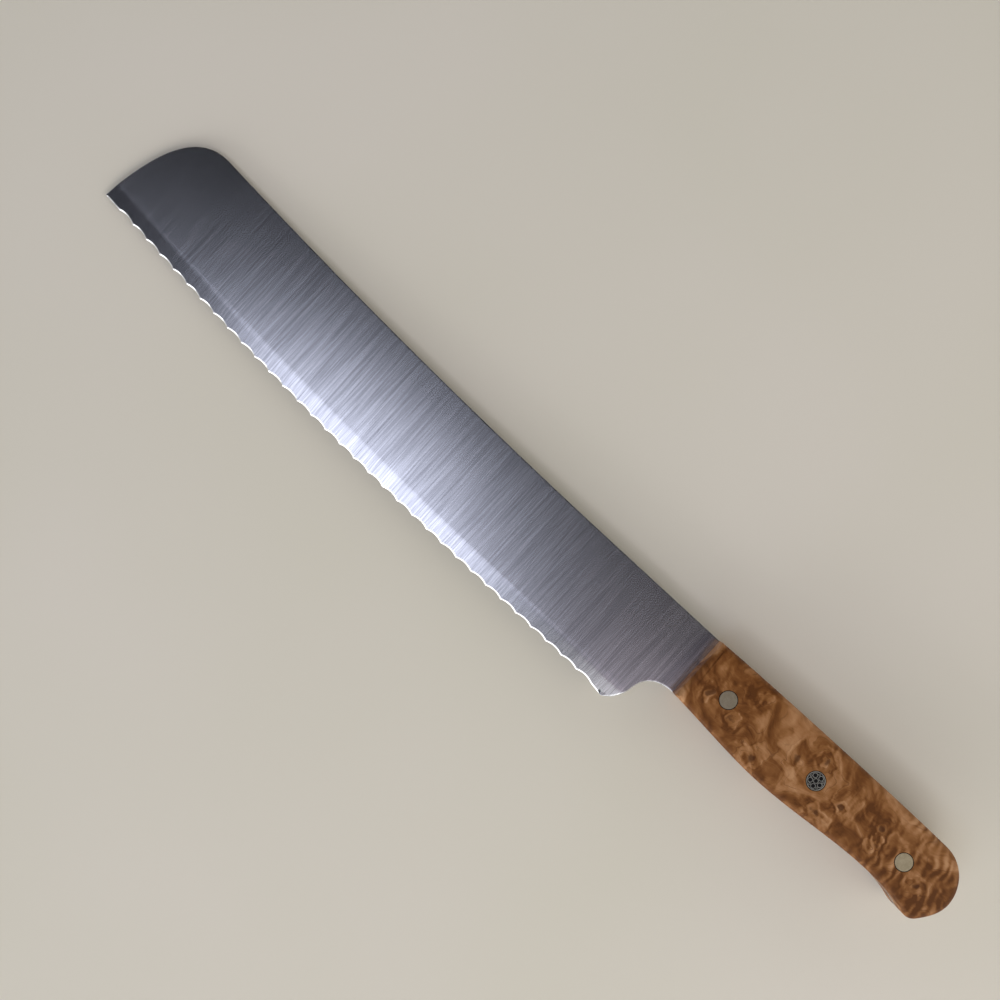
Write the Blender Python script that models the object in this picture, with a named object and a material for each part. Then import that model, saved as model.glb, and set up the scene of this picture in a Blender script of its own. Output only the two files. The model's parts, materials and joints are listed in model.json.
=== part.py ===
"""Bread knife: serrated full-tang blade, two burl wood scales, two plain pins and one mosaic pin.

The pieces are drawn in the knife's own frame, which the empty "knife" holds: X runs along the line of the
pins towards the tip, Y towards the cutting edge and Z out of the upper face. Its origin is where the blade
leaves the handle, on the blade's middle plane. The empty then leans the knife the way it lies on a table,
on its tip and on the front of its handle, with the middle of its footprint at the world's origin.
Lengths are in metres.
"""

import math

import bmesh
import bpy
from mathutils import Vector

MM = 0.001

# Blade steel
BLADE_LENGTH = 262.2 * MM  # handle front to tip corner
STOCK = 2.2 * MM  # thickness of the steel, tang included
SPINE_Y = -12.9 * MM  # straight back of the blade, next to the handle
SPINE_RISE = 6.9 * MM  # how far the back climbs from there to its peak
SPINE_RISE_START = 50.4 * MM
SPINE_PEAK_X = 236.3 * MM
SPINE_STEPS = 16
NOSE_STEPS = 18

# Cutting edge
EDGE_Y = 27.75 * MM  # line of the cusps over the straight rear half
EDGE_RISE = 9.9 * MM  # how far that line climbs to the tip corner
EDGE_RISE_START = 69.0 * MM
TIP_FLAT = 7.2 * MM  # straight stretch between the tip corner and the first cusp
SERRATION_PITCH = 7.05 * MM
SERRATION_COUNT = 33
SERRATION_DEPTH = 0.75 * MM
SERRATION_STEPS = 4
BEVEL_WIDTH = 5.7 * MM  # ground band along the edge, on both faces
BEVEL_OVERRUN = 0.8 * MM  # the grinding planes run on past the cusps by this much
BEVEL_END_THICKNESS = 0.12 * MM
BEVEL_STEPS = 16
GRINDING_REAR = 130.0 * MM  # the grinding body reaches past the butt, the nose and the back
GRINDING_FRONT = 5.0 * MM
GRINDING_BACK = -35.0 * MM

# Heel and handle outline
HEEL_CORNER = (17.1, 28.5)  # in millimetres, like the curves' points
HEEL_STEPS = 8
HANDLE_STEPS = 10
BUTT_STEPS = 12

# Handle stack
HANDLE_THICKNESS = 19.0 * MM
BOND_THICKNESS = 0.14 * MM  # epoxy film under each scale
BOND_GAP = 0.03 * MM
SCALE_ROUND = 2.0 * MM
SCALE_ROUND_STEPS = 4

# Pins, all on the X axis
FRONT_PIN_X = -13.8 * MM
PIN_SPACING = 39.3 * MM
PLAIN_PIN_RADIUS = 3.0 * MM
PIN_HOLE_GAP = 0.05 * MM
PIN_SEGMENTS = 32

# Mosaic pin: one tube full of smaller tubes, with dark resin in and between them
MOSAIC_RADIUS = 3.175 * MM
MOSAIC_WALL = 0.25 * MM
MOSAIC_GAP = 0.02 * MM
PETAL_RADIUS = 0.90 * MM  # centre tube and the five around it
PETAL_WALL = 0.20 * MM
PETAL_RING = 1.90 * MM
PETAL_SEGMENTS = 20
BEAD_RADIUS = 0.39 * MM  # five thin tubes in the gaps between those
BEAD_WALL = 0.15 * MM
BEAD_RING = 2.35 * MM
BEAD_SEGMENTS = 12
MOSAIC_COUNT = 5
MOSAIC_TURN = math.radians(30.0)  # direction of the first petal tube

HALF_STOCK = STOCK / 2
HALF_HANDLE = HANDLE_THICKNESS / 2
MOSAIC_PIN_X = FRONT_PIN_X - PIN_SPACING
REAR_PIN_X = MOSAIC_PIN_X - PIN_SPACING


# ---- curves ----


def mm_points(*points):
    """Points given in millimetres, as vectors in metres."""
    return [Vector(point) * MM for point in points]


def bezier(points, steps):
    """A cubic Bezier curve without its last point, so that curves chain up."""
    start, pull_a, pull_b, end = (Vector(point) for point in points)
    curve = []
    for step in range(steps):
        t = step / steps
        u = 1 - t
        curve.append(u**3 * start + 3 * u * u * t * pull_a + 3 * u * t * t * pull_b + t**3 * end)
    return curve


def spine_y(x):
    climb = max(0.0, (x - SPINE_RISE_START) / (SPINE_PEAK_X - SPINE_RISE_START))
    return SPINE_Y - SPINE_RISE * climb**2


def edge_y(x):
    climb = max(0.0, (x - EDGE_RISE_START) / (BLADE_LENGTH - EDGE_RISE_START))
    return EDGE_Y - EDGE_RISE * climb**2


def spine_curve():
    """The back of the blade, from the handle to its peak."""
    points = [Vector((0, SPINE_Y))]
    for step in range(SPINE_STEPS):
        x = SPINE_RISE_START + (SPINE_PEAK_X - SPINE_RISE_START) * step / SPINE_STEPS
        points.append(Vector((x, spine_y(x))))
    return points


def nose_curve():
    """From the peak round the nose to just before the tip corner."""
    peak = Vector((SPINE_PEAK_X, spine_y(SPINE_PEAK_X)))
    corner = Vector((BLADE_LENGTH, edge_y(BLADE_LENGTH)))
    pull_peak, pull_corner = mm_points((257.0, -22.3), (259.9, 5.4))
    return bezier((peak, pull_peak, pull_corner, corner), NOSE_STEPS)


def serrated_edge():
    """From the tip corner back to the end of the last scallop. Each scallop is a shallow hollow arc."""
    points = [Vector((BLADE_LENGTH, edge_y(BLADE_LENGTH)))]
    first_cusp = BLADE_LENGTH - TIP_FLAT
    for scallop in range(SERRATION_COUNT):
        for step in range(SERRATION_STEPS):
            across = step / SERRATION_STEPS
            x = first_cusp - (scallop + across) * SERRATION_PITCH
            hollow = SERRATION_DEPTH * 4 * across * (1 - across)
            points.append(Vector((x, edge_y(x) - hollow)))
    last_cusp = first_cusp - SERRATION_COUNT * SERRATION_PITCH
    points.append(Vector((last_cusp, edge_y(last_cusp))))
    return points


def heel_curve():
    """From the heel corner up the notch to the front of the handle."""
    corner, flank, foot, root = mm_points(HEEL_CORNER, (11.0, 19.6), (5.0, 11.8), (0, 10.9))
    outer = bezier((corner, *mm_points((14.0, 27.0), (11.7, 23.6)), flank), HEEL_STEPS)
    fillet = bezier((flank, *mm_points((10.4, 15.4), (8.3, 13.0)), foot), HEEL_STEPS)
    shoulder = bezier((foot, *mm_points((3.2, 11.2), (1.6, 11.0)), root), HEEL_STEPS // 2)
    return outer + fillet + shoulder


def handle_curve():
    """The handle's outline from its front belly corner round the butt to its front spine corner."""
    front, swell, waist, hook = mm_points((0, 10.9), (-38, 13.4), (-84, 10.3), (-103.2, 12.5))
    heel, butt, shoulder = mm_points((-108.6, 10.9), (-113.2, 0.4), (-100.5, -13.5))
    top, end = mm_points((-45, -13.7), (0, -12.9))
    return (
        bezier((front, *mm_points((-12, 11.6), (-26, 13.4)), swell), HANDLE_STEPS)
        + bezier((swell, *mm_points((-54, 13.4), (-70, 10.3)), waist), HANDLE_STEPS)
        + bezier((waist, *mm_points((-92, 10.3), (-98.5, 10.8)), hook), HANDLE_STEPS)
        + bezier((hook, *mm_points((-105.2, 13.2), (-106.9, 13.1)), heel), BUTT_STEPS // 2)
        + bezier((heel, *mm_points((-111.4, 7.4), (-113.2, 4.2)), butt), BUTT_STEPS)
        + bezier((butt, *mm_points((-113.2, -5.6), (-108.6, -13.0)), shoulder), BUTT_STEPS)
        + bezier((shoulder, *mm_points((-84, -14.0), (-62, -13.8)), top), HANDLE_STEPS)
        + bezier((top, *mm_points((-28, -13.6), (-12, -13.3)), end), HANDLE_STEPS)
        + [end]
    )


def blade_outline():
    """Blade and tang in one closed loop, anticlockwise seen from above."""
    tang = handle_curve()[:-1]
    return spine_curve() + nose_curve() + serrated_edge() + heel_curve() + tang


# ---- solids ----


def extruded(outline, low, high):
    """A flat plate of the outline's shape between two heights."""
    plate = bmesh.new()
    bottom = plate.faces.new([plate.verts.new((point.x, point.y, low)) for point in outline])
    grown = bmesh.ops.extrude_face_region(plate, geom=[bottom])
    lifted = [item for item in grown["geom"] if isinstance(item, bmesh.types.BMVert)]
    bmesh.ops.translate(plate, vec=(0, 0, high - low), verts=lifted)
    bmesh.ops.recalc_face_normals(plate, faces=plate.faces)
    return plate


def circle(center, radius, segments):
    """A ring of points round a centre."""
    turns = [2 * math.pi * step / segments for step in range(segments)]
    return [Vector((center[0] + radius * math.cos(a), center[1] + radius * math.sin(a))) for a in turns]


def rod(center, radius, segments, low=-HALF_HANDLE, high=HALF_HANDLE):
    return extruded(circle(center, radius, segments), low, high)


def tube(center, radius, wall, segments):
    """A straight tube as long as the handle is thick."""
    pipe = bmesh.new()
    rings = []
    for ring_radius, height in (
        (radius, -HALF_HANDLE),
        (radius, HALF_HANDLE),
        (radius - wall, HALF_HANDLE),
        (radius - wall, -HALF_HANDLE),
    ):
        ring = [pipe.verts.new((*point, height)) for point in circle(center, ring_radius, segments)]
        rings.append(ring)
    for index, ring in enumerate(rings):
        following = rings[(index + 1) % len(rings)]
        for step in range(segments):
            after = (step + 1) % segments
            pipe.faces.new((ring[step], ring[after], following[after], following[step]))
    bmesh.ops.recalc_face_normals(pipe, faces=pipe.faces)
    return pipe


def merged(solids):
    """Several separate solids in one mesh, for a cutter."""
    whole = bmesh.new()
    for solid in solids:
        piece = bpy.data.meshes.new("piece")
        solid.to_mesh(piece)
        solid.free()
        whole.from_mesh(piece)
        bpy.data.meshes.remove(piece)
    return whole


def grinding_body():
    """Everything that the two edge bevels leave standing: a long bar that thins to the cutting edge."""
    bar = bmesh.new()
    rear, front = -GRINDING_REAR, BLADE_LENGTH + GRINDING_FRONT
    curved = [EDGE_RISE_START + (front - EDGE_RISE_START) * i / BEVEL_STEPS for i in range(BEVEL_STEPS + 1)]
    half_end = BEVEL_END_THICKNESS / 2
    sections = []
    for x in [rear] + curved:
        start, end = edge_y(x) - BEVEL_WIDTH, edge_y(x) + BEVEL_OVERRUN
        profile = (
            (GRINDING_BACK, -HALF_STOCK),
            (start, -HALF_STOCK),
            (end, -half_end),
            (end, half_end),
            (start, HALF_STOCK),
            (GRINDING_BACK, HALF_STOCK),
        )
        sections.append([bar.verts.new((x, y, z)) for y, z in profile])
    bar.faces.new(sections[0])
    bar.faces.new(sections[-1])
    for section, following in zip(sections, sections[1:]):
        for step in range(len(section)):
            after = (step + 1) % len(section)
            bar.faces.new((section[step], section[after], following[after], following[step]))
    bmesh.ops.recalc_face_normals(bar, faces=bar.faces)
    return bar


def scale_solid(side):
    """One handle scale, flat where it is glued and rounded along its outer rim; side is 1 or -1."""
    inner = HALF_STOCK + BOND_THICKNESS + 2 * BOND_GAP
    low, high = sorted((side * inner, side * HALF_HANDLE))
    plate = extruded(handle_curve(), low, high)
    rim = [edge for edge in plate.edges if all(abs(vert.co.z) > HALF_HANDLE - MM for vert in edge.verts)]
    bmesh.ops.bevel(
        plate, geom=rim, offset=SCALE_ROUND, segments=SCALE_ROUND_STEPS, profile=0.5, affect="EDGES"
    )
    return plate


def bond_solid(side):
    near = HALF_STOCK + BOND_GAP
    low, high = sorted((side * near, side * (near + BOND_THICKNESS)))
    return extruded(handle_curve(), low, high)


# ---- objects ----


def material(name, colour, roughness, metallic):
    finish = bpy.data.materials.new(name)
    finish.use_nodes = True
    shader = finish.node_tree.nodes["Principled BSDF"]
    shader.inputs["Base Color"].default_value = (*colour, 1)
    shader.inputs["Roughness"].default_value = roughness
    shader.inputs["Metallic"].default_value = metallic
    return finish


def add_object(name, solid, knife, finish=None):
    mesh = bpy.data.meshes.new(name)
    solid.to_mesh(mesh)
    solid.free()
    mesh.shade_smooth()
    mesh.set_sharp_from_angle(angle=math.radians(30))
    if finish:
        mesh.materials.append(finish)
    item = bpy.data.objects.new(name, mesh)
    bpy.context.scene.collection.objects.link(item)
    item.parent = knife
    return item


def add_cutter(name, solid, knife):
    cutter = add_object(name, solid, knife)
    cutter.hide_render = True
    cutter.display_type = "WIRE"
    return cutter


def cut(item, cutter, operation="DIFFERENCE"):
    modifier = item.modifiers.new(cutter.name, "BOOLEAN")
    modifier.operation = operation
    modifier.object = cutter
    modifier.solver = "EXACT"


def add_pin_hole_cutter(knife):
    """Three rods, a little wider than the pins and longer than the handle is thick."""
    reach = HANDLE_THICKNESS
    sizes = (
        (FRONT_PIN_X, PLAIN_PIN_RADIUS),
        (MOSAIC_PIN_X, MOSAIC_RADIUS),
        (REAR_PIN_X, PLAIN_PIN_RADIUS),
    )
    rods = [rod((x, 0), radius + PIN_HOLE_GAP, PIN_SEGMENTS, -reach, reach) for x, radius in sizes]
    return add_cutter("pin_hole_cutter", merged(rods), knife)


def add_blade(knife, holes, steel):
    grinding = add_cutter("grinding_cutter", grinding_body(), knife)
    blade = add_object("blade", extruded(blade_outline(), -HALF_STOCK - MM, HALF_STOCK + MM), knife, steel)
    cut(blade, grinding, "INTERSECT")
    cut(blade, holes)


def add_handle(knife, holes, wood, epoxy):
    for name, side in (("upper", 1), ("lower", -1)):
        cut(add_object(f"{name}_scale", scale_solid(side), knife, wood), holes)
        cut(add_object(f"{name}_bond_film", bond_solid(side), knife, epoxy), holes)


def mosaic_layout():
    """Name, centre, radius, wall and sides of every tube inside the mosaic pin."""
    tubes = [("centre", Vector((MOSAIC_PIN_X, 0)), PETAL_RADIUS, PETAL_WALL, PETAL_SEGMENTS)]
    for index in range(MOSAIC_COUNT):
        turn = MOSAIC_TURN + 2 * math.pi * index / MOSAIC_COUNT
        petal = Vector((MOSAIC_PIN_X + PETAL_RING * math.cos(turn), PETAL_RING * math.sin(turn)))
        tubes.append((f"petal_{index + 1}", petal, PETAL_RADIUS, PETAL_WALL, PETAL_SEGMENTS))
        turn += math.pi / MOSAIC_COUNT
        bead = Vector((MOSAIC_PIN_X + BEAD_RING * math.cos(turn), BEAD_RING * math.sin(turn)))
        tubes.append((f"bead_{index + 1}", bead, BEAD_RADIUS, BEAD_WALL, BEAD_SEGMENTS))
    return tubes


def add_mosaic_pin(knife, silver, resin):
    middle = (MOSAIC_PIN_X, 0)
    add_object("mosaic_outer_tube", tube(middle, MOSAIC_RADIUS, MOSAIC_WALL, PIN_SEGMENTS), knife, silver)
    bores = []
    for name, center, radius, wall, segments in mosaic_layout():
        add_object(f"mosaic_{name}_tube", tube(center, radius, wall, segments), knife, silver)
        core = rod(center, radius - wall - MOSAIC_GAP, segments)
        add_object(f"mosaic_{name}_core", core, knife, resin)
        bores.append(rod(center, radius + MOSAIC_GAP, segments, -HANDLE_THICKNESS, HANDLE_THICKNESS))
    filling = rod(middle, MOSAIC_RADIUS - MOSAIC_WALL - MOSAIC_GAP, PIN_SEGMENTS)
    matrix = add_object("mosaic_resin_filling", filling, knife, resin)
    cut(matrix, add_cutter("mosaic_bore_cutter", merged(bores), knife))


def add_plain_pins(knife, silver):
    for name, x in (("front_pin", FRONT_PIN_X), ("rear_pin", REAR_PIN_X)):
        add_object(name, rod((x, 0), PLAIN_PIN_RADIUS, PIN_SEGMENTS), knife, silver)


def resting_lean():
    """Nose-down angle at which the tip and the rounded front of the handle touch the same plane."""
    run = BLADE_LENGTH + SCALE_ROUND
    drop = HALF_HANDLE - SCALE_ROUND - HALF_STOCK
    return math.atan2(drop, run) + math.asin(SCALE_ROUND / math.hypot(run, drop))


def lay_down(knife):
    """Lean the knife, then put the middle of its box above the origin and its lowest point at zero."""
    knife.rotation_euler = (0, resting_lean(), 0)
    depsgraph = bpy.context.evaluated_depsgraph_get()
    corners = []
    for item in knife.children:
        if not item.hide_render:
            shaped = item.evaluated_get(depsgraph)
            corners += [shaped.matrix_world @ vert.co for vert in shaped.data.vertices]
    low = Vector([min(corner[axis] for corner in corners) for axis in range(3)])
    high = Vector([max(corner[axis] for corner in corners) for axis in range(3)])
    middle = (low + high) / 2
    knife.location = (-middle.x, -middle.y, -low.z)


def build():
    for item in list(bpy.data.objects):
        bpy.data.objects.remove(item)
    steel = material("blade_steel", (0.34, 0.35, 0.38), 0.32, 1.0)
    wood = material("burl_wood", (0.23, 0.10, 0.045), 0.38, 0.0)
    epoxy = material("bond_epoxy", (0.05, 0.04, 0.03), 0.5, 0.0)
    silver = material("nickel_silver", (0.42, 0.40, 0.32), 0.35, 1.0)
    resin = material("dark_resin", (0.01, 0.01, 0.012), 0.25, 0.0)
    knife = bpy.data.objects.new("knife", None)
    bpy.context.scene.collection.objects.link(knife)
    holes = add_pin_hole_cutter(knife)
    add_blade(knife, holes, steel)
    add_handle(knife, holes, wood, epoxy)
    add_plain_pins(knife, silver)
    add_mosaic_pin(knife, silver, resin)
    lay_down(knife)


build()
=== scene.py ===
"""The looks of the bread knife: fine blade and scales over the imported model, materials, light and camera.

Pieces are drawn in the knife's own frame, in millimetres: X runs along the line of the pins towards the
tip, Y towards the cutting edge and Z out of the upper face, from the front of the handle. KNIFE carries
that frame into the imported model's, which is in metres.
"""

import json
import math

import bmesh
import bpy
import numpy as np
from mathutils import Matrix, Vector


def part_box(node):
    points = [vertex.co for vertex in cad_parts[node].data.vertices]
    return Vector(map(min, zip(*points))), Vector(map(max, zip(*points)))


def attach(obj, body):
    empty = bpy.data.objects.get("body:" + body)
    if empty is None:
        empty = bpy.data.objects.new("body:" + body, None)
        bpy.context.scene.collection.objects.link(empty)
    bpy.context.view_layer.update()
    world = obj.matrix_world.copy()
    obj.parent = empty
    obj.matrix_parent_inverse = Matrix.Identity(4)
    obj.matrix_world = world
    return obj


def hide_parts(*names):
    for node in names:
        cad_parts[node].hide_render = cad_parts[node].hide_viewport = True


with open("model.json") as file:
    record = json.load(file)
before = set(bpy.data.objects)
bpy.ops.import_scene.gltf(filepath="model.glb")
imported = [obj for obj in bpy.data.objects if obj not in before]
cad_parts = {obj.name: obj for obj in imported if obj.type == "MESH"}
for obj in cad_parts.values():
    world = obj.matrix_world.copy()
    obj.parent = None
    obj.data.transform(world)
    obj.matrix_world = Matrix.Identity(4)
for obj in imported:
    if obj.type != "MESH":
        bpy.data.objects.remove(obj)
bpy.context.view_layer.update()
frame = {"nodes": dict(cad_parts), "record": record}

MM = 0.001

# Blade outline and grind, as in the CAD model
BLADE_LENGTH = 262.2
HALF_STOCK = 1.1
SPINE_Y = -12.9
SPINE_RISE = 6.9
SPINE_RISE_START = 50.4
SPINE_PEAK_X = 236.3
NOSE_PULLS = ((257.0, -22.3), (259.9, 5.4))
EDGE_Y = 27.75
EDGE_RISE = 9.9
EDGE_RISE_START = 69.0
TIP_FLAT = 7.2
SERRATION_PITCH = 7.05
SERRATION_COUNT = 33
SERRATION_DEPTH = 0.75
BEVEL_WIDTH = 5.7
BEVEL_SLOPE = 0.16
HEEL_CURVES = (
    ((0, 10.9), (1.6, 11.0), (3.2, 11.2), (5.0, 11.8)),
    ((5.0, 11.8), (8.3, 13.0), (10.4, 15.4), (11.0, 19.6)),
    ((11.0, 19.6), (11.7, 23.6), (14.0, 27.0), (17.1, 28.5)),
)
HEEL_END_X = HEEL_CURVES[-1][-1][0]

# Handle outline: from the butt forward along the belly, and from the butt forward along the back
BELLY_CURVES = (
    ((-113.2, 0.4), (-113.2, 4.2), (-111.4, 7.4), (-108.6, 10.9)),
    ((-108.6, 10.9), (-106.9, 13.1), (-105.2, 13.2), (-103.2, 12.5)),
    ((-103.2, 12.5), (-98.5, 10.8), (-92, 10.3), (-84, 10.3)),
    ((-84, 10.3), (-70, 10.3), (-54, 13.4), (-38, 13.4)),
    ((-38, 13.4), (-26, 13.4), (-12, 11.6), (0, 10.9)),
)
BACK_CURVES = (
    ((-113.2, 0.4), (-113.2, -5.6), (-108.6, -13.0), (-100.5, -13.5)),
    ((-100.5, -13.5), (-84, -14.0), (-62, -13.8), (-45, -13.7)),
    ((-45, -13.7), (-28, -13.6), (-12, -13.3), (0, -12.9)),
)
HALF_HANDLE = 9.5
SCALE_INNER = 1.3  # height of a scale's glued face
SCALE_ROUND = 2.0
PIN_PLACES = (("front", -13.8, 3.0), ("mosaic", -53.1, 3.175), ("rear", -92.4, 3.0))
TANG_GAP = 0.05  # between the blade and a pin
GLUE_WIDTH = 0.3  # dark ring of glue round each pin
GLUE_SINK = 0.04  # below the wood
GLUE_GAP = 0.01  # between the glue and what it touches
DRILL_REACH = 20

# Corners and soft lines of the blade
SPINE_ROUND = 0.22  # broken corners of the back, the nose and the tang
HEEL_ROUND = 0.45  # the softer corner in the heel notch
NOTCH_FULL_X = 3.0  # the notch's corner grows from the front of the handle to here
HONED_WIDTH = 0.38  # ground facet along the scallops, on the upper face only
HONED_DROP = 0.3  # height that the facet loses from its inner line to the edge
HONED_FULL_X = 19.0  # the facet grows from the end of the heel notch to here
HONED_FADE = 1.0  # the facet fades out over this much of the tip
CORNER_SHARE = 0.35  # a corner takes no more than this share of the width
BACK_DROP_SHARE = 0.5  # nor more than these shares of the half thickness
EDGE_DROP_SHARE = 0.6
CORNER_TURNS = (math.radians(30), math.radians(60))
BLEND = 1.2  # half width of the soft line where the edge bevel starts

# How finely the visible pieces are drawn
CURVE_STEPS = 24
SPINE_STEPS = 160
NOSE_STEPS = 40
SCALLOP_STEPS = 12
TIP_STEPS = 8
HEEL_STEPS = 14
FLAT_ROWS = 6
BLEND_ROWS = 9
BEVEL_ROWS = 3
SUPPORT = 0.25  # rows this close to a broken corner keep the shading of the faces flat
SUPPORT_SHARE = 0.3  # of the width, where that is less
COLUMN_GAP = 0.06  # least distance between columns
MERGE_GAP = 0.004  # points closer than this become one
SLIVER = 0.002  # edges shorter than this are dissolved
TINY = 1e-6
PIN_SEGMENTS = 64
ROUND_SEGMENTS = 10
SMOOTH_ANGLE = math.radians(28)  # edges sharper than this stay sharp

# Camera, straight above the blade, in metres
CAMERA_HEIGHT = 0.381
CAMERA_AHEAD = 0.08787  # in front of the handle
CAMERA_SIDE = 0.0027
CAMERA_TURN = math.radians(-137.25)
LENS = 38.99
SENSOR = 36.0
CLIP_START = 0.01

# Light, in metres: the panels hang high and face down, the window stands low on the cutting side
PANEL_HEIGHT = 1.5
WINDOW_SIZE = (2.6, 1.0)
WINDOW_PLACE = (0.1, 2.5, 0.6)
WINDOW_RADIANCE = 3.0

# Colours of the light
COOL = (0.96, 1.0, 1.22)
PLAIN = (1.0, 1.0, 1.0)
WARM = (1.08, 1.0, 0.88)
ROSY = (1.12, 0.95, 1.08)
SKY = (0.95, 0.95, 0.93, 1)  # at the horizon
DARK = (0, 0, 0, 1)  # overhead
SKY_FADE = (0.42, 0.58)  # the sky falls to dark between these heights of the view direction
FLOOR_HALF = 4.0

# Knots in the wood, each with its X, Y and radius
UPPER_EYES = (
    (-7.8, 1.7, 3.2),
    (-18.7, 4.3, 3.4),
    (-20.0, -8.4, 5.0),
    (-31.8, 8.8, 4.4),
    (-43.6, -2.0, 6.5),
    (-51.7, -7.5, 4.0),
    (-60.3, 8.1, 3.6),
    (-64.9, 0.6, 2.6),
    (-80.0, -3.3, 4.2),
    (-82.7, 2.7, 3.4),
    (-101.0, 3.5, 4.0),
)
LOWER_EYES = tuple((-114 - x * 0.98, -0.8 * y, radius * 1.1) for x, y, radius in UPPER_EYES)
LOWER_DRIFT = (0.0, 0.0, 140.0)  # the lower scale is cut from another part of the burl

# Colours, linear: a dark and a light one, or stops with their place on the ramp
STEEL_TONES = ((0.38, (0.41, 0.415, 0.43)), (0.62, (0.65, 0.655, 0.67)))
WOOD_TONES = (
    (0.27, (0.104, 0.033, 0.005)),
    (0.34, (0.176, 0.063, 0.014)),
    (0.40, (0.253, 0.106, 0.032)),
    (0.47, (0.357, 0.170, 0.069)),
    (0.57, (0.470, 0.253, 0.120)),
)
CREASE_BROWN = (0.080, 0.022, 0.003)
EYE_BROWN = (0.050, 0.014, 0.003)
PORE_BROWN = (0.09, 0.030, 0.009)
PAPER_TONES = ((0.4, (0.70, 0.67, 0.575)), (0.75, (0.73, 0.69, 0.615)))
NICKEL_SILVER = ((0.32, 0.28, 0.20), (0.44, 0.39, 0.29))
TUBE_METAL = ((0.32, 0.33, 0.31), (0.46, 0.47, 0.44))
BLACK_RESIN = ((0.002, 0.002, 0.003), (0.008, 0.008, 0.010))
PIN_GLUE = ((0.010, 0.006, 0.003), (0.03, 0.018, 0.010))
BOND_FILM = ((0.03, 0.022, 0.014), (0.06, 0.045, 0.03))

# Grain of the brushed steel: noise scales along the blade, across it and through it
BRUSH_LINES = (1.3, 0.030, 0.3)
BRUSH_THREADS = (2.6, 0.060, 0.3)
STEEL_CLOUDS = (0.02, 0.03, 0.1)
BRUSH_UV = 5  # UV units in a metre
BRUSH_UV_DEPTH = 0.5

# Figure of the burl
WARPS = ((0.045, 22.0), (0.13, 5.0))  # noise scale and reach of each push on the grain
EYE_WANDER = 8.0  # how far the outlines of the eyes stray from circles
EYE_LIFT = 0.23  # how much an eye adds to the phase of the bands
EYE_CORE = (0.2, 1.3)  # the dark middle of an eye fades out between these distances
BAND_TURNS = 3.6
CLOUD_SHARE = 0.34
MOTTLE_SHARE = 0.24
BAND_SHARE = 0.08
FIBRE_SHARE = 0.11
RELIEF_PAINTED_LIGHT_STEP = (-0.5, -0.35, 0.0)  # a step towards the painted light, for the painted light and shade of the relief
# How strongly the painted light and shade of the relief goes into the wood's colour
RELIEF_PAINTED_SHADE_GAIN = 1.2
RIPPLE_START_X = -70.0
RIPPLE_FULL_X = -92.0
RIPPLE_SLANT = 0.27
RIPPLE_WANDER = 9.0
RIPPLE_RATE = 2.0  # radians in a millimetre
RIPPLE_DEPTH = 0.006  # all over the handle
RIPPLE_REAR_DEPTH = 0.085  # more of it near the butt
CREASE_WIDTH = 0.28


# ---- frame ----


def knife_matrix():
    """The knife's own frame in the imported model's: it leans a little, down to its tip."""
    faces = {mount["name"]: mount for mount in frame["record"]["mounts"]}
    up = Vector(faces["upper_scale_face"]["axis"]).normalized()
    edgeward = Vector((0, 1, 0))
    turn = Matrix((edgeward.cross(up), edgeward, up)).transposed()
    low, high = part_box("front_pin")
    origin = (low + high) / 2 - turn @ Vector((PIN_PLACES[0][1] * MM, 0, 0))
    return Matrix.Translation(origin) @ turn.to_4x4()


KNIFE = knife_matrix()


# ---- outlines ----


def bezier(points, steps):
    """Points along a cubic Bezier curve, both ends included."""
    start, pull_a, pull_b, end = (np.array(point, float) for point in points)
    t = np.linspace(0, 1, steps + 1)[:, None]
    u = 1 - t
    return u**3 * start + 3 * u * u * t * pull_a + 3 * u * t * t * pull_b + t**3 * end


def chain(curves):
    """Several curves end to end, each joint once."""
    parts = [bezier(curve, CURVE_STEPS)[:-1] for curve in curves]
    return np.vstack(parts + [np.array([curves[-1][-1]], float)])


def spine_y(x):
    """The spine: straight in front of the handle, then rising towards the nose."""
    climb = np.maximum(0, (x - SPINE_RISE_START) / (SPINE_PEAK_X - SPINE_RISE_START))
    return SPINE_Y - SPINE_RISE * climb**2


def edge_y(x):
    """The line through the points of the serration, which curves in towards the tip."""
    climb = np.maximum(0, (x - EDGE_RISE_START) / (BLADE_LENGTH - EDGE_RISE_START))
    return EDGE_Y - EDGE_RISE * climb**2


FIRST_CUSP = BLADE_LENGTH - TIP_FLAT
LAST_CUSP = FIRST_CUSP - SERRATION_COUNT * SERRATION_PITCH


def back_line():
    """The outline on the back: butt, back of the handle, spine and nose."""
    straight = np.linspace(0, SPINE_PEAK_X, SPINE_STEPS)[1:]
    spine = np.column_stack((straight, spine_y(straight)))
    peak = tuple(spine[-1])
    nose = bezier((peak, *NOSE_PULLS, (BLADE_LENGTH, edge_y(BLADE_LENGTH))), NOSE_STEPS)[1:]
    return np.vstack((chain(BACK_CURVES), spine, nose))


def edge_line():
    """The outline on the cutting side: butt, belly, heel notch, scallops and tip."""
    across = np.arange(SERRATION_COUNT * SCALLOP_STEPS + 1) / SCALLOP_STEPS
    x = LAST_CUSP + across * SERRATION_PITCH
    hollow = SERRATION_DEPTH * 4 * (across % 1) * (1 - across % 1)
    scallops = np.column_stack((x, edge_y(x) - hollow))
    tip = np.linspace(FIRST_CUSP, BLADE_LENGTH, TIP_STEPS)[1:]
    tip = np.column_stack((tip, edge_y(tip)))
    heel = np.linspace(HEEL_CURVES[-1][-1], scallops[0], HEEL_STEPS)[1:-1]
    return np.vstack((chain(BELLY_CURVES)[:-1], chain(HEEL_CURVES), heel, scallops, tip))


def inward(points, side):
    """Unit normals into the blade along an outline; side is 1 where the blade lies at larger Y."""
    run = np.gradient(points, axis=0)
    run /= np.linalg.norm(run, axis=1)[:, None]
    return side * np.column_stack((-run[:, 1], run[:, 0]))


# ---- blade ----


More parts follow.
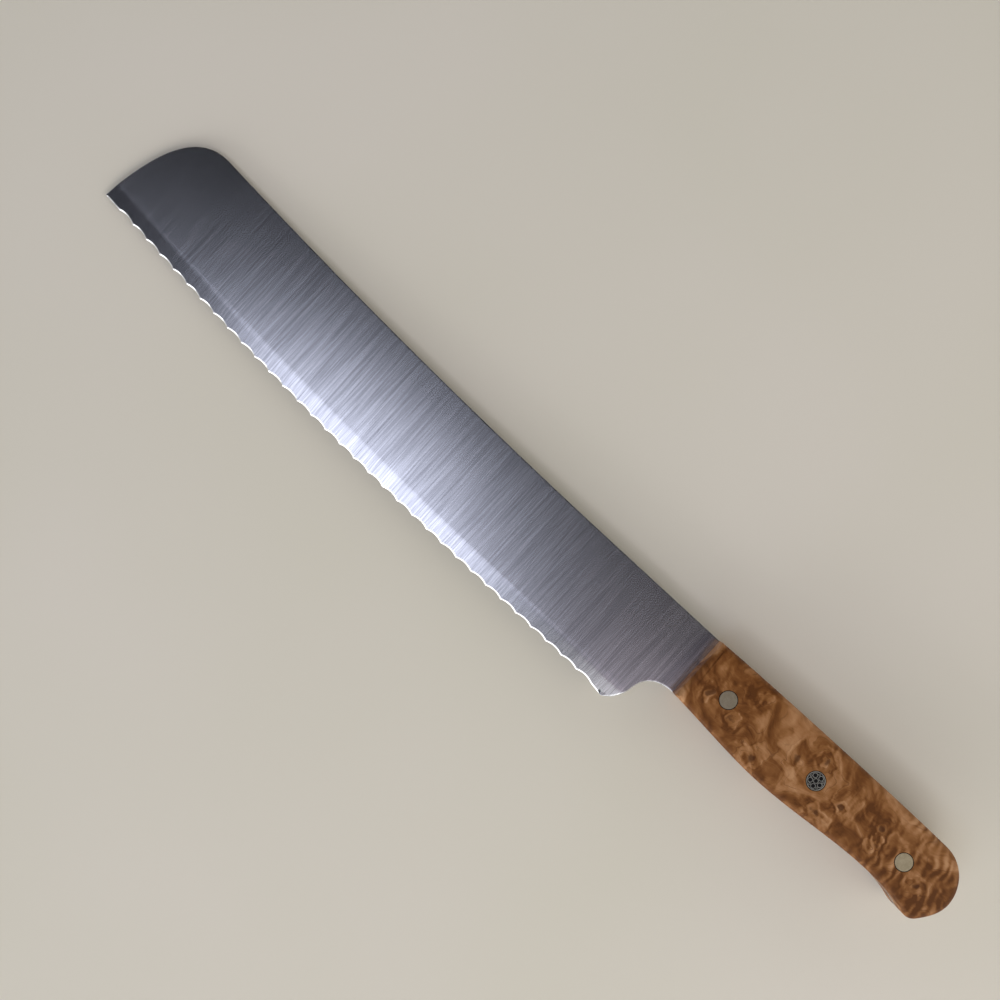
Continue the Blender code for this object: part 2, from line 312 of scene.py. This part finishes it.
def stations(back, edge):
    """The X of every column of the blade's mesh: all outline points, less those that nearly meet."""
    every = np.unique(np.concatenate((back[:, 0], edge[:, 0])))
    kept = [every[0]]
    for x in every[1:-1]:
        if min(x - kept[-1], every[-1] - x) > COLUMN_GAP:
            kept.append(x)
    return np.array(kept + [every[-1]])


def on_line(line, x):
    """Points of an outline at the given X."""
    return np.column_stack((x, np.interp(x, line[:, 0], line[:, 1])))


def half_thickness(x, y):
    """Half the blade's thickness: flat stock, then a soft line, then the edge bevel."""
    into = y - (edge_y(x) - BEVEL_WIDTH)
    soft = BEVEL_SLOPE * (into + BLEND) ** 2 / (4 * BLEND)
    ground = np.where(into < -BLEND, 0, np.where(into > BLEND, BEVEL_SLOPE * into, soft))
    return HALF_STOCK - np.where(x < 0, 0, ground)


def section_rows(x, back, edge):
    """The rows of one column between two points, given as Y: flat, soft line, bevel."""
    bevel = edge_y(x) - BEVEL_WIDTH
    margin = min(SUPPORT, SUPPORT_SHARE * (edge - back))
    top = back + margin
    rows = np.concatenate((
        np.linspace(top, max(bevel - BLEND, top), FLAT_ROWS + 1)[:-1],
        np.linspace(bevel - BLEND, bevel + BLEND, BLEND_ROWS),
        np.linspace(bevel + BLEND, edge_y(x) - SERRATION_DEPTH - HONED_WIDTH, BEVEL_ROWS + 1)[1:],
    ))
    return np.clip(rows, top, edge - margin)


def smoothstep(low, high, value):
    """0 below the low value, 1 above the high one, and a soft climb between them."""
    t = np.clip((value - low) / (high - low), 0, 1)
    return t * t * (3 - 2 * t)


def corner_widths(xs, back, edge):
    """Widths of the back's and the edge's corners in each column, and how far the edge is honed there."""
    room = CORNER_SHARE * (edge[:, 1] - back[:, 1])
    honed = smoothstep(HEEL_END_X, HONED_FULL_X, xs)
    honed = honed * (1 - smoothstep(BLADE_LENGTH - HONED_FADE, BLADE_LENGTH, xs))
    notch = smoothstep(0, NOTCH_FULL_X, xs) * (1 - honed)
    back_width = np.minimum(SPINE_ROUND, room)
    edge_width = np.minimum(SPINE_ROUND + (HEEL_ROUND - SPINE_ROUND) * notch, room)
    edge_width = edge_width * (1 - honed) + np.minimum(HONED_WIDTH, room) * honed
    return back_width, edge_width, honed


def corner_points(rim, into, width, face, drop, turns):
    """Points of a rounded corner between the outline and a face: the turn, place and height of each."""
    for turn in turns:
        yield turn, rim + into * width * (1 - math.sin(turn)), face - drop * (1 - math.cos(turn))


def blade_column(x, back, edge, honed):
    """Points round the blade's section at X. Each side is a point, the way in and the corner's width."""
    back_rim, back_in, back_width = back
    edge_rim, edge_in, edge_width = edge
    inner_back = back_rim + back_in * back_width
    inner_edge = edge_rim + edge_in * edge_width
    if inner_edge[1] < inner_back[1]:
        inner_back = inner_edge = (inner_back + inner_edge) / 2
    upper = []
    lower = []
    # back of the blade: wall, rounded corner, face
    face = half_thickness(*inner_back)
    drop = min(back_width, BACK_DROP_SHARE * face)
    for _, spot, corner in corner_points(*back, face, drop, (math.pi / 2, *CORNER_TURNS[::-1])):
        upper.append((*spot, corner))
        lower.append((*spot, -corner))
    upper.append((*inner_back, face))
    lower.append((*inner_back, -face))
    rows = section_rows(x, inner_back[1], inner_edge[1])
    share = (rows - inner_back[1]) / max(inner_edge[1] - inner_back[1], TINY)
    row_x = inner_back[0] + (inner_edge[0] - inner_back[0]) * share
    for y, across in zip(rows, row_x):
        height = half_thickness(across, y)
        upper.append((across, y, height))
        lower.append((across, y, -height))
    # cutting side: rounded corner in the notch, one-sided facet along the scallops
    face = half_thickness(*inner_edge)
    drop = min(edge_width, EDGE_DROP_SHARE * face)
    upper.append((*inner_edge, face))
    lower.append((*inner_edge, -face))
    for turn, spot, corner in corner_points(*edge, face, drop, (*CORNER_TURNS, math.pi / 2)):
        facet = face - HONED_DROP * math.sin(turn)
        upper.append((*spot, corner + (facet - corner) * honed))
        lower.append((*spot, -corner + (corner - half_thickness(*spot)) * honed))
    return upper + lower[::-1]


def blade_grid():
    """Columns of points round the blade's section, one column for each station."""
    back_side, edge_side = back_line(), edge_line()
    xs = stations(back_side, edge_side)
    back, edge = on_line(back_side, xs), on_line(edge_side, xs)
    back_width, edge_width, honed = corner_widths(xs, back, edge)
    backs = zip(back, inward(back, 1), back_width)
    edges = zip(edge, inward(edge, -1), edge_width)
    return np.array([blade_column(*column) for column in zip(xs, backs, edges, honed)])


def mesh_piece(name, solid, material, nodes):
    """Turns a solid drawn in millimetres in the knife's frame into a piece that stands for CAD nodes."""
    mesh = bpy.data.meshes.new(name)
    solid.to_mesh(mesh)
    solid.free()
    mesh.transform(KNIFE @ Matrix.Scale(MM, 4))
    mesh.shade_smooth()
    # Faces with more than four sides are the flat ones
    for face in mesh.polygons:
        face.use_smooth = len(face.vertices) <= 4
    mesh.set_sharp_from_angle(angle=SMOOTH_ANGLE)
    mesh.materials.append(material)
    piece = bpy.data.objects.new(name, mesh)
    bpy.context.scene.collection.objects.link(piece)
    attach(piece, "root")
    if nodes:
        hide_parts(*nodes)
    return piece


def blade_solid():
    """The blade as one closed skin, its columns joined by four-sided faces."""
    columns = blade_grid()
    count, around = columns.shape[:2]
    solid = bmesh.new()
    verts = [[solid.verts.new(point) for point in column] for column in columns]
    for i in range(count - 1):
        for j in range(around):
            k = (j + 1) % around
            solid.faces.new((verts[i][j], verts[i + 1][j], verts[i + 1][k], verts[i][k]))
    bmesh.ops.remove_doubles(solid, verts=solid.verts, dist=MERGE_GAP)
    bmesh.ops.dissolve_degenerate(solid, edges=solid.edges, dist=SLIVER)
    bmesh.ops.recalc_face_normals(solid, faces=solid.faces)
    return solid


# ---- handle ----


def handle_outline():
    """The handle's closed outline, along the back and home along the belly."""
    return np.vstack((chain(BACK_CURVES), chain(BELLY_CURVES)[:0:-1]))


def extruded(outline, low, high):
    """A flat plate of the outline's shape between two heights."""
    plate = bmesh.new()
    bottom = plate.faces.new([plate.verts.new((*point, low)) for point in outline])
    grown = bmesh.ops.extrude_face_region(plate, geom=[bottom])
    lifted = [item for item in grown["geom"] if isinstance(item, bmesh.types.BMVert)]
    bmesh.ops.translate(plate, vec=(0, 0, high - low), verts=lifted)
    bmesh.ops.recalc_face_normals(plate, faces=plate.faces)
    return plate


def circle(x, radius):
    """Points round a pin's axis, which crosses the line of the pins at X."""
    turns = 2 * math.pi * np.arange(PIN_SEGMENTS) / PIN_SEGMENTS
    return np.column_stack((x + radius * np.cos(turns), radius * np.sin(turns)))


def drilled(solid, gap):
    """The solid with the three pin holes cut through it, each wider than its pin by the gap."""
    body = bpy.data.meshes.new("body")
    solid.to_mesh(body)
    solid.free()
    item = bpy.data.objects.new("body", body)
    bpy.context.scene.collection.objects.link(item)
    drills = []
    for name, x, radius in PIN_PLACES:
        rod = extruded(circle(x, radius + gap), -DRILL_REACH, DRILL_REACH)
        mesh = bpy.data.meshes.new(name)
        rod.to_mesh(mesh)
        rod.free()
        drill = bpy.data.objects.new(name, mesh)
        bpy.context.scene.collection.objects.link(drill)
        cut = item.modifiers.new(name, "BOOLEAN")
        cut.operation = "DIFFERENCE"
        cut.object = drill
        cut.solver = "EXACT"
        drills.append(drill)
    shaped = item.evaluated_get(bpy.context.evaluated_depsgraph_get())
    result = bmesh.new()
    result.from_mesh(shaped.data)
    for used in drills + [item]:
        mesh = used.data
        bpy.data.objects.remove(used)
        bpy.data.meshes.remove(mesh)
    return result


def scale_solid(side):
    """One scale: flat where it is glued, rounded along its outer rim and drilled for the pins."""
    low, high = sorted((side * SCALE_INNER, side * HALF_HANDLE))
    plate = extruded(handle_outline(), low, high)
    middle = (SCALE_INNER + HALF_HANDLE) / 2
    rim = [edge for edge in plate.edges if all(abs(vert.co.z) > middle for vert in edge.verts)]
    bmesh.ops.bevel(
        plate, geom=rim, offset=SCALE_ROUND, segments=ROUND_SEGMENTS, profile=0.5, affect="EDGES"
    )
    return drilled(plate, GLUE_WIDTH)


def glue_ring(x, radius, side):
    """The glue that fills the hole round a pin, a little below the wood."""
    ring = bmesh.new()
    low, high = sorted((side * SCALE_INNER, side * (HALF_HANDLE - GLUE_SINK)))
    outer = radius + GLUE_WIDTH - GLUE_GAP
    inner = radius + GLUE_GAP
    loops = []
    for reach, height in ((outer, low), (outer, high), (inner, high), (inner, low)):
        loops.append([ring.verts.new((*point, height)) for point in circle(x, reach)])
    for index, loop in enumerate(loops):
        following = loops[(index + 1) % len(loops)]
        for step in range(PIN_SEGMENTS):
            after = (step + 1) % PIN_SEGMENTS
            ring.faces.new((loop[step], loop[after], following[after], following[step]))
    bmesh.ops.recalc_face_normals(ring, faces=ring.faces)
    return ring


# ---- materials ----


class Finish:
    """A material under construction, with short calls for its nodes."""

    def __init__(self, name):
        self.material = bpy.data.materials.new(name)
        self.material.use_nodes = True
        self.nodes = self.material.node_tree.nodes
        self.links = self.material.node_tree.links
        self.shader = self.nodes["Principled BSDF"]

    def feed(self, socket, value):
        if isinstance(value, bpy.types.NodeSocket):
            self.links.new(value, socket)
        else:
            socket.default_value = value

    def add(self, kind, inputs=(), **settings):
        node = self.nodes.new("ShaderNode" + kind)
        for key, value in settings.items():
            setattr(node, key, value)
        for key, value in dict(inputs).items():
            self.feed(node.inputs[key], value)
        return node

    def place(self):
        """Position on the knife, in millimetres in its own frame."""
        packed = self.add("TexCoord").outputs["Object"]
        return self.add(
            "Mapping",
            {
                "Vector": packed,
                "Location": KNIFE.translation,
                "Rotation": KNIFE.to_euler(),
                "Scale": (MM, MM, MM),
            },
            vector_type="TEXTURE",
        ).outputs["Vector"]

    def stretched(self, vector, scale, shift=(0, 0, 0)):
        """The place scaled along each axis, to draw a noise out or to squeeze it."""
        return self.add("Mapping", {"Vector": vector, "Scale": scale, "Location": shift}).outputs["Vector"]

    def noise(self, vector, scale, detail=2.0, roughness=0.5, distortion=0.0):
        node = self.add(
            "TexNoise",
            {
                "Vector": vector,
                "Scale": scale,
                "Detail": detail,
                "Roughness": roughness,
                "Distortion": distortion,
            },
        )
        return node.outputs["Fac"]

    def math(self, operation, a, b=0.0, c=0.0):
        node = self.add("Math", operation=operation)
        for socket, value in zip(node.inputs, (a, b, c)):
            self.feed(socket, value)
        return node.outputs["Value"]

    def vector_math(self, operation, a, b=(0, 0, 0)):
        node = self.add("VectorMath", operation=operation)
        self.feed(node.inputs[0], a)
        self.feed(node.inputs[1], b)
        return node.outputs

    def spread(self, value, low, high, new_low=0.0, new_high=1.0):
        """Carries a value from one range to another, softly and clamped at both ends."""
        node = self.add(
            "MapRange",
            {"Value": value, "From Min": low, "From Max": high, "To Min": new_low, "To Max": new_high},
            interpolation_type="SMOOTHSTEP",
        )
        return node.outputs["Result"]

    def ramp(self, value, stops):
        node = self.add("ValToRGB", {"Fac": value})
        elements = node.color_ramp.elements
        while len(elements) < len(stops):
            elements.new(0.5)
        for element, (position, colour) in zip(elements, stops):
            element.position = position
            element.color = (*colour, 1)
        return node.outputs["Color"]

    def blend(self, amount, a, b):
        """Goes from colour a to colour b; each is an output or three numbers."""
        node = self.add("Mix", data_type="RGBA", blend_type="MIX")
        self.feed(node.inputs["Factor"], amount)
        for socket, value in zip((node.inputs[6], node.inputs[7]), (a, b)):
            self.feed(socket, value if isinstance(value, bpy.types.NodeSocket) else (*value, 1))
        return node.outputs[2]

    def bump(self, height, depth):
        """Bump of a height between 0 and 1 that stands for the given depth in millimetres."""
        node = self.add("Bump", {"Height": height, "Distance": depth * MM, "Strength": 1.0})
        self.feed(self.shader.inputs["Normal"], node.outputs["Normal"])

    def set(self, **values):
        """Feeds the shader's sockets, whose names have underscores here in place of spaces."""
        for key, value in values.items():
            if isinstance(value, tuple):
                value = (*value, 1)
            self.feed(self.shader.inputs[key.replace("_", " ")], value)


def bevel_distance(finish, spot):
    """How far a point lies past the line where the edge bevel starts, in millimetres."""
    parts = finish.add("SeparateXYZ", {"Vector": spot}).outputs
    run = 1 / (BLADE_LENGTH - EDGE_RISE_START)
    climb = finish.math("MULTIPLY_ADD", parts["X"], run, -EDGE_RISE_START * run)
    climb = finish.math("MAXIMUM", climb, 0.0)
    rise = finish.math("MULTIPLY", finish.math("MULTIPLY", climb, climb), EDGE_RISE)
    return finish.math("ADD", finish.math("ADD", parts["Y"], rise), BEVEL_WIDTH - EDGE_Y)


def steel():
    """Satin steel, brushed across the blade and smoother along the edge bevel."""
    finish = Finish("brushed_blade_steel")
    spot = finish.place()
    lines = finish.noise(finish.stretched(spot, BRUSH_LINES), 1.0, 2.0, 0.7)
    threads = finish.noise(finish.stretched(spot, BRUSH_THREADS, (7, 3, 0)), 1.0, 1.0, 0.6)
    clouds = finish.noise(finish.stretched(spot, STEEL_CLOUDS), 1.0, 2.0, 0.5)
    streak = finish.math("ADD", finish.math("MULTIPLY", lines, 0.6), finish.math("MULTIPLY", threads, 0.4))
    flat = finish.spread(bevel_distance(finish, spot), -BLEND, BLEND, 1.0, 0.0)
    rough = finish.spread(streak, 0.3, 0.7, 0.23, 0.21)
    rough = finish.math("ADD", rough, finish.math("MULTIPLY", clouds, 0.04))
    finish.set(
        Base_Color=finish.ramp(streak, STEEL_TONES),
        Metallic=1.0,
        Roughness=finish.math("MULTIPLY", rough, finish.math("MULTIPLY_ADD", flat, 0.25, 0.75)),
        Anisotropic=0.5,
    )
    tangent = finish.add("Tangent", direction_type="UV_MAP")
    finish.feed(finish.shader.inputs["Tangent"], tangent.outputs["Tangent"])
    finish.bump(streak, 0.0010)
    return finish.material


def figure(finish, spot, eyes):
    """The run of the grain: its warped place, its bands' phase, its tone, the eyes and their rims."""
    warped = spot
    for scale, reach in WARPS:
        sway = finish.add("TexNoise", {"Vector": spot, "Scale": scale, "Detail": 1.5}).outputs["Color"]
        shift = finish.vector_math("SUBTRACT", sway, (0.5, 0.5, 0.5))["Vector"]
        push = finish.vector_math("MULTIPLY", shift, (reach, reach, reach))["Vector"]
        warped = finish.vector_math("ADD", warped, push)["Vector"]
    field = finish.noise(warped, 0.055, 2.0, 0.45)
    wander = finish.math("MULTIPLY_ADD", finish.noise(spot, 0.22, 2.0), EYE_WANDER, -EYE_WANDER / 2)
    core = ring = 0.0
    flat = finish.stretched(spot, (1, 1, 0))
    for x, y, radius in eyes:
        near = finish.vector_math("DISTANCE", flat, (x, y, 0))["Value"]
        around = finish.math("ADD", near, wander)
        field = finish.math("ADD", field, finish.spread(around, 0.0, radius * 1.5, EYE_LIFT, 0.0))
        core = finish.math("MAXIMUM", core, finish.spread(around, *EYE_CORE, 1.0, 0.0))
        ring = finish.math("MAXIMUM", ring, finish.spread(around, radius * 0.6, radius * 1.6, 1.0, 0.0))
    turn = finish.math("MULTIPLY", field, 2 * math.pi * BAND_TURNS)
    bands = finish.spread(finish.math("SINE", turn), -1.0, 1.0)
    clouds = finish.noise(warped, 0.06, 1.5, 0.45, 0.2)
    mottle = finish.noise(warped, 0.20, 1.5, 0.5, 0.3)
    tone = finish.math("MULTIPLY", clouds, CLOUD_SHARE)
    for part, share in ((mottle, MOTTLE_SHARE), (bands, BAND_SHARE)):
        tone = finish.math("MULTIPLY_ADD", part, share, tone)
    return warped, turn, tone, core, ring


def burl(name, drift, eyes):
    """Oiled burl: clouds and bands with painted light and shade as if in relief, creases round the eyes,
    ripples near the butt.
    """
    finish = Finish(name)
    spot = finish.vector_math("ADD", finish.place(), drift)["Vector"]
    warped, turn, tone, core, ring = figure(finish, spot, eyes)
    # Painted light and shade: the tone here less the tone a step towards the light, so that the figure
    # looks lit in relief
    painted_light_side = finish.vector_math("ADD", spot, RELIEF_PAINTED_LIGHT_STEP)["Vector"]
    painted_relief_shade = finish.math("SUBTRACT", tone, figure(finish, painted_light_side, eyes)[2])
    fibre = finish.noise(finish.stretched(warped, (0.45, 1.8, 1.0)), 1.0, 3.0, 0.6)
    tone = finish.math("MULTIPLY_ADD", fibre, FIBRE_SHARE, tone)
    # The painted light and shade of the relief is added to the wood's colour
    tone = finish.math("MULTIPLY_ADD", painted_relief_shade, RELIEF_PAINTED_SHADE_GAIN, tone)
    parts = finish.add("SeparateXYZ", {"Vector": spot}).outputs
    patches = finish.noise(spot, 0.10, 2.0)
    patchy = finish.spread(patches, 0.40, 0.60)
    phase = finish.math("MULTIPLY_ADD", parts["Y"], RIPPLE_SLANT, parts["X"])
    phase = finish.math("MULTIPLY_ADD", patches, RIPPLE_WANDER, phase)
    ripple = finish.math("SINE", finish.math("MULTIPLY", phase, RIPPLE_RATE))
    rear = finish.spread(parts["X"], RIPPLE_START_X, RIPPLE_FULL_X)
    depth = finish.math("MULTIPLY_ADD", rear, RIPPLE_REAR_DEPTH, RIPPLE_DEPTH)
    tone = finish.math("MULTIPLY_ADD", ripple, finish.math("MULTIPLY", depth, patchy), tone)
    colour = finish.ramp(tone, WOOD_TONES)
    crease = finish.math("ABSOLUTE", finish.math("SINE", finish.math("MULTIPLY", turn, 1.5)))
    crease = finish.spread(crease, 0.0, CREASE_WIDTH, 1.0, 0.0)
    crease = finish.math("MULTIPLY", crease, finish.math("MULTIPLY_ADD", ring, 0.5, patchy))
    colour = finish.blend(finish.math("MULTIPLY", crease, 0.5), colour, CREASE_BROWN)
    colour = finish.blend(finish.math("MULTIPLY", core, 0.7), colour, EYE_BROWN)
    pores = finish.noise(finish.stretched(spot, (1.4, 4.5, 3.0)), 1.0, 2.0, 0.6)
    colour = finish.blend(finish.spread(pores, 0.58, 0.78, 0.0, 0.30), colour, PORE_BROWN)
    finish.set(
        Base_Color=colour,
        Roughness=finish.spread(fibre, 0.3, 0.7, 0.50, 0.40),
        Specular_IOR_Level=0.16,
    )
    finish.bump(finish.math("MULTIPLY_ADD", pores, -0.6, fibre), 0.02)
    return finish.material


def satin_metal(name, tones, rough):
    """Pin metal, sanded flush: fine scratches in all directions and faint blotches."""
    finish = Finish(name)
    spot = finish.place()
    scratches = finish.noise(spot, 4.5, 4.0, 0.7)
    blotches = finish.noise(spot, 0.8, 2.0)
    tone = finish.math("MULTIPLY_ADD", blotches, 0.4, finish.math("MULTIPLY", scratches, 0.6))
    finish.set(
        Base_Color=finish.ramp(tone, ((0.35, tones[0]), (0.65, tones[1]))),
        Metallic=1.0,
        Roughness=finish.spread(scratches, 0.3, 0.7, rough - 0.05, rough + 0.06),
    )
    finish.bump(scratches, 0.008)
    return finish.material


def filler(name, tones, rough, grain):
    """Glue or resin with a trace of dust in it."""
    finish = Finish(name)
    dust = finish.noise(finish.place(), grain, 3.0, 0.6)
    finish.set(
        Base_Color=finish.ramp(dust, ((0.35, tones[0]), (0.7, tones[1]))),
        Specular_IOR_Level=0.12,
        Roughness=finish.spread(dust, 0.3, 0.7, rough - 0.05, rough + 0.08),
    )
    finish.bump(dust, 0.004)
    return finish.material


def paper():
    """The pale table top under the knife."""
    finish = Finish("pale_floor")
    spot = finish.place()
    clouds = finish.noise(spot, 0.006, 2.0)
    grain = finish.noise(spot, 1.2, 3.0, 0.6)
    tone = finish.math("MULTIPLY_ADD", grain, 0.15, clouds)
    finish.set(
        Base_Color=finish.ramp(tone, PAPER_TONES),
        Roughness=finish.spread(grain, 0.3, 0.7, 0.75, 0.85),
    )
    finish.bump(grain, 0.01)
    return finish.material


# ---- stage ----


def add_floor():
    """The surface that the knife lies on."""
    ground = bmesh.new()
    bmesh.ops.create_grid(ground, x_segments=8, y_segments=8, size=FLOOR_HALF)
    mesh = bpy.data.meshes.new("floor")
    ground.to_mesh(mesh)
    ground.free()
    mesh.materials.append(paper())
    floor = bpy.data.objects.new("floor", mesh)
    bpy.context.scene.collection.objects.link(floor)


def area_light(name, size, place, radiance, colour=PLAIN):
    """A rectangle of light that faces down; its place is in metres from the front of the handle."""
    light = bpy.data.lights.new(name, "AREA")
    light.shape = "RECTANGLE"
    light.size, light.size_y = size
    light.energy = math.pi * light.size * light.size_y * radiance
    light.color = colour
    item = bpy.data.objects.new(name, light)
    bpy.context.scene.collection.objects.link(item)
    front = KNIFE.translation
    item.location = (front.x + place[0], front.y + place[1], place[2])
    return item


def add_panel(name, x_edges, y_edges, radiance, colour):
    """A soft panel between four edges, in metres from the front of the handle."""
    size = (x_edges[1] - x_edges[0], y_edges[1] - y_edges[0])
    area_light(name, size, (sum(x_edges) / 2, sum(y_edges) / 2, PANEL_HEIGHT), radiance, colour)


def add_lights():
    """Daylight from the cutting side and from behind the butt; the ceiling over the tip stays dark."""
    add_panel("window_near", (0.10, 0.28), (0.12, 0.75), 1.85, COOL)
    add_panel("window_low", (0.20, 0.66), (0.02, 0.12), 1.9, COOL)
    add_panel("window_mid", (0.28, 0.70), (0.12, 0.35), 1.85, COOL)
    add_panel("window_wide", (0.28, 0.74), (0.35, 0.75), 1.75, COOL)
    add_panel("window_far", (0.10, 0.80), (0.75, 1.00), 2.8, COOL)
    add_panel("heel_panel", (-0.45, -0.20), (0.02, 0.62), 0.85, ROSY)
    add_panel("side_panel", (-1.00, -0.20), (0.62, 1.00), 2.6, PLAIN)
    add_panel("rear_panel", (-3.20, -0.90), (-1.80, 1.00), 1.8, WARM)
    add_panel("rear_corner", (-3.20, -0.90), (1.00, 2.80), 1.8, PLAIN)
    # The window itself, turned to face the knife: it lights the scallops and the rims
    window = area_light("low_window", WINDOW_SIZE, WINDOW_PLACE, WINDOW_RADIANCE)
    window.rotation_euler = (-math.pi / 2, 0, 0)


def add_world():
    """Pale towards the horizon and dark overhead."""
    world = bpy.data.worlds.new("studio")
    world.use_nodes = True
    tree = world.node_tree
    ray = tree.nodes.new("ShaderNodeTexCoord")
    parts = tree.nodes.new("ShaderNodeSeparateXYZ")
    ramp = tree.nodes.new("ShaderNodeValToRGB")
    tree.links.new(ray.outputs["Generated"], parts.inputs["Vector"])
    tree.links.new(parts.outputs["Z"], ramp.inputs["Fac"])
    tree.links.new(ramp.outputs["Color"], tree.nodes["Background"].inputs["Color"])
    low, high = ramp.color_ramp.elements
    low.color, high.color = SKY, DARK
    low.position, high.position = SKY_FADE
    bpy.context.scene.world = world


def add_camera():
    """The camera looks straight down, turned so that the blade lies from corner to corner."""
    lens = bpy.data.cameras.new("camera")
    lens.lens = LENS
    lens.sensor_width = SENSOR
    lens.clip_start = CLIP_START
    camera = bpy.data.objects.new("camera", lens)
    bpy.context.scene.collection.objects.link(camera)
    front = KNIFE @ Vector((0, 0, HALF_STOCK * MM))
    camera.location = (front.x + CAMERA_AHEAD, front.y + CAMERA_SIDE, CAMERA_HEIGHT)
    camera.rotation_euler = (0, 0, CAMERA_TURN)
    bpy.context.scene.camera = camera


def brushing_uv(piece):
    """UV axes for the brushed finish: U runs along the blade, square to the brushing."""
    layer = piece.data.uv_layers.new(name="brushing")
    back = KNIFE.inverted()
    for loop in piece.data.loops:
        spot = back @ piece.data.vertices[loop.vertex_index].co
        layer.data[loop.index].uv = (spot.x * BRUSH_UV, spot.y * BRUSH_UV + spot.z * BRUSH_UV_DEPTH)


# ---- the knife ----


def add_blade():
    solid = drilled(blade_solid(), TANG_GAP)
    brushing_uv(mesh_piece("serrated_blade", solid, steel(), ("blade",)))


def add_scales():
    glue = filler("pin_glue", PIN_GLUE, 0.5, 3.0)
    for name, side, drift, eyes in (
        ("upper", 1, (0.0, 0.0, 0.0), UPPER_EYES),
        ("lower", -1, LOWER_DRIFT, LOWER_EYES),
    ):
        wood = burl(f"{name}_burl", drift, eyes)
        mesh_piece(f"{name}_burl_scale", scale_solid(side), wood, (f"{name}_scale",))
        for pin, x, radius in PIN_PLACES:
            mesh_piece(f"{pin}_pin_{name}_glue", glue_ring(x, radius, side), glue, ())


def finish_nodes():
    """Materials for the CAD nodes that stay: pins, mosaic tubes, resin and the glue films."""
    pin = satin_metal("nickel_silver_pin", NICKEL_SILVER, 0.36)
    silver = satin_metal("mosaic_tube_metal", TUBE_METAL, 0.34)
    resin = filler("black_resin", BLACK_RESIN, 0.35, 6.0)
    film = filler("bond_film", BOND_FILM, 0.5, 2.0)
    for name, node in frame["nodes"].items():
        if name in ("front_pin", "rear_pin"):
            material = pin
        elif name.endswith("_tube"):
            material = silver
        elif name.startswith("mosaic"):
            material = resin
        elif name.endswith("_film"):
            material = film
        else:
            continue
        node.data.materials.clear()
        node.data.materials.append(material)


add_camera()
add_floor()
add_world()
add_lights()
add_blade()
add_scales()
finish_nodes()
bpy.context.scene.view_settings.view_transform = "Standard"
